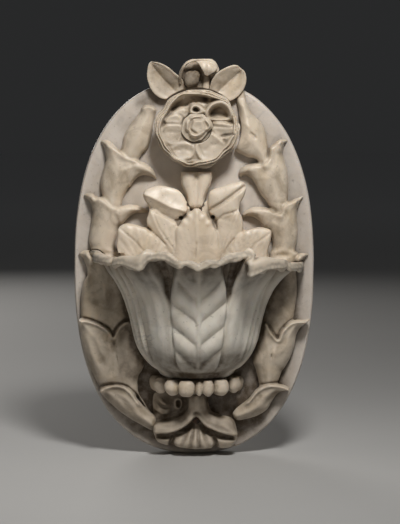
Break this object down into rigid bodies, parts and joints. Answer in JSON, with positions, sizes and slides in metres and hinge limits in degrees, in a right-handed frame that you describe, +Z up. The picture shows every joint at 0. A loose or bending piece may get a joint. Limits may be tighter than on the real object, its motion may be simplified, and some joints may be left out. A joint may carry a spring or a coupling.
{
  "type": "holy water stoup",
  "caption": "Wall-hung marble holy water stoup: oval slab with husk garlands, half-bell petal basin on a beaded collar and leaf pendant, leaf spray, rose and crest leaves.",
  "frame": {"origin": "centre of the oval slab on its flat back face", "axes": "+Z up, +Y into the wall, so the carved front faces -Y; +X to the right seen from the front"},
  "size_m": [0.2404, 0.1296, 0.3959],
  "materials": {
    "marble": "polished and waxed cream marble, darker in the recesses",
    "marble_pale": "polished and waxed pale marble with faint grey veins",
    "iron": "forged iron, dark and slightly rusted",
    "lead": "dull poured lead",
    "mortar": "lime mortar"
  },
  "bodies": {
    "root": {"back_plate": "marble", "hanger_bar": "iron", "hanger_lead_left": "lead", "hanger_lead_right": "lead", "basin": "marble_pale", "basin_bed": "mortar", "bead_collar": "marble", "foot_pendant": "marble", "collar_dowel": "iron", "rose_stem": "marble", "rose": "marble", "rose_heart": "marble", "leaf_spray": "marble_pale", "crest_leaf_left": "marble", "crest_leaf_right": "marble", "crest_curl": "marble", "garland_left": "marble", "garland_right": "marble", "basin_dowel_left": "iron", "basin_dowel_right": "iron", "foot_dowel": "iron", "spray_dowel": "iron", "stem_dowel": "iron", "rose_pin": "iron", "crest_dowel_left": "iron", "crest_dowel_right": "iron", "crest_dowel_center": "iron", "garland_pin_left_upper": "iron", "garland_pin_left_lower": "iron", "garland_pin_right_upper": "iron", "garland_pin_right_lower": "iron"}
  },
  "joints": []
}
